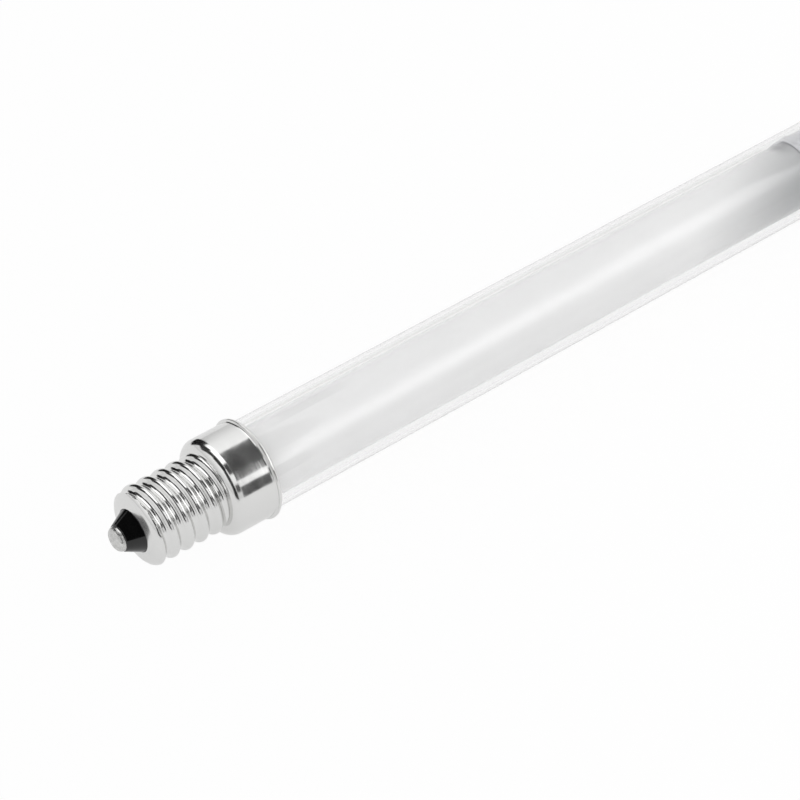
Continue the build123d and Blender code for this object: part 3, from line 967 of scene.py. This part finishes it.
# %% [markdown]
# ## Cards for the metal and the black glass
#
# A photographer hangs dark and bright cards where polished metal mirrors them, so that its form reads. Each
# card lies round the lamp's axis at one distance, between two angles about X and two places along X, which
# were worked out from where the camera's mirror rays leave the skirt, the thread's crests, the jacket and
# the black cone. Only mirror reflections see the cards, and their edges are soft, as a card's are when it
# hangs close. The material fades from the middle of the card's UV map to nothing at its border.

# %% Make a soft-edged glow
def soft_glow(name, colour, strength, half_length, half_width, soft_ends, soft_sides):
    """A glowing material that fades to nothing over soft borders, whose widths are in millimetres."""
    material = bpy.data.materials.new(name)
    material.use_nodes = True
    tree = material.node_tree
    tree.nodes.clear()
    place = add_node(tree, "ShaderNodeTexCoord")
    shares = add_node(tree, "ShaderNodeSeparateXYZ", {0: place.outputs["UV"]})
    fades = []
    for axis, half, soft in (("X", half_length, soft_ends), ("Y", half_width, soft_sides)):
        off_middle = add_node(
            tree, "ShaderNodeMath", {0: shares.outputs[axis], 1: 0.5}, operation="SUBTRACT"
        )
        distance = add_node(tree, "ShaderNodeMath", {0: off_middle.outputs[0]}, operation="ABSOLUTE")
        full_at = 0.5 - min(soft / (2 * half), 0.5)
        border = {"Value": distance.outputs[0], "From Min": 0.5, "From Max": full_at}
        fades.append(add_node(tree, "ShaderNodeMapRange", border, interpolation_type="SMOOTHSTEP"))
    fade = add_node(
        tree, "ShaderNodeMath", {0: fades[0].outputs[0], 1: fades[1].outputs[0]}, operation="MULTIPLY"
    )
    clear = add_node(tree, "ShaderNodeBsdfTransparent")
    glow = add_node(tree, "ShaderNodeEmission", {"Color": colour, "Strength": strength})
    mix = add_node(
        tree, "ShaderNodeMixShader", {0: fade.outputs[0], 1: clear.outputs[0], 2: glow.outputs[0]}
    )
    add_node(tree, "ShaderNodeOutputMaterial", {"Surface": mix.outputs[0]})
    return material


def round_axis(angle, distance, x):
    """A place beside the lamp's axis, at an angle about X in degrees, and the facing back to the axis."""
    return (x, distance * cos(radians(angle)), distance * sin(radians(angle))), angle + 180


print("a place behind the lamp, and its facing:", round_axis(0, 100, 0))

# %% Hang the cards
CARD_DISTANCE = 150.0


def mirror_card(name, tone, low, high, from_x, to_x, soft, strength=1.0):
    """A card that only mirror reflections see, between two angles about X and two places along X."""
    half_length = (to_x - from_x) / 2
    half_width = CARD_DISTANCE * tan(radians((high - low) / 2))
    place, facing = round_axis((low + high) / 2, CARD_DISTANCE, (from_x + to_x) / 2)
    material = soft_glow(name, linear(tone), strength, half_length, half_width, soft, soft)
    card = studio_plane(name, place, half_length, half_width, facing, material)
    card.visible_camera = False
    card.visible_diffuse = False
    card.visible_transmission = False
    card.visible_shadow = False


# Each row gives the tone, the angles, the places along X, the soft border and, if it isn't 1, the strength.
CARDS = {
    "skirt_card": ("#333333", 72, 145, 70, 112, 8),
    "skirt_low_card": ("#202020", 157, 183, 78, 106, 5),
    "tube_card": ("#303030", 44, 72, 97, 124, 10),
    "crest_card": ("#161616", -16, 38, -24, 84, 5),
    "crest_light": ("#FFFFFF", 42, 97, -24, 72, 5, 1.6),
    "thread_card": ("#444444", 99, 126, -24, 74, 5),
    "thread_low_card": ("#525252", 148, 166, -24, 76, 5),
    "nose_card_behind": ("#202020", -44, -14, 4, 56, 3),
    "nose_card_side": ("#303030", 22, 66, -92, 8, 2),
    "nose_card_top": ("#303030", 64, 110, -128, -28, 2),
    "nose_card_camera": ("#303030", 108, 154, -146, -46, 2),
    "nose_card_low": ("#303030", 152, 186, -134, -34, 2),
}
for name, settings in CARDS.items():
    mirror_card(name, *settings)
print("cards:", len(CARDS))

# %% [markdown]
# ## The strip light
#
# The glossy glass of the tube shows one long bright streak. A soft-edged glowing plane further along the
# lamp draws it. The plane leans, which sets how the streak drifts across the tube, and it fades over nearly
# its whole width, so that the streak has no hard edge.

# %% Set the strip light
STREAK_ANGLE = 130
STRIP_RADIANCE = 2.05
STRIP_X = 186
STRIP_DISTANCE = 158
STRIP_LEAN = 46
STRIP_HALF = (90, 100)
STRIP_SOFT = (14, 96)
strip_place, strip_facing = round_axis(STREAK_ANGLE, STRIP_DISTANCE, STRIP_X)
strip_glow = soft_glow("strip light", (1, 1, 1, 1), STRIP_RADIANCE, *STRIP_HALF, *STRIP_SOFT)
strip = studio_plane("strip_light", strip_place, *STRIP_HALF, strip_facing, strip_glow, STRIP_LEAN)
strip.visible_camera = False
strip.visible_shadow = False
print("strip light radiance", STRIP_RADIANCE)
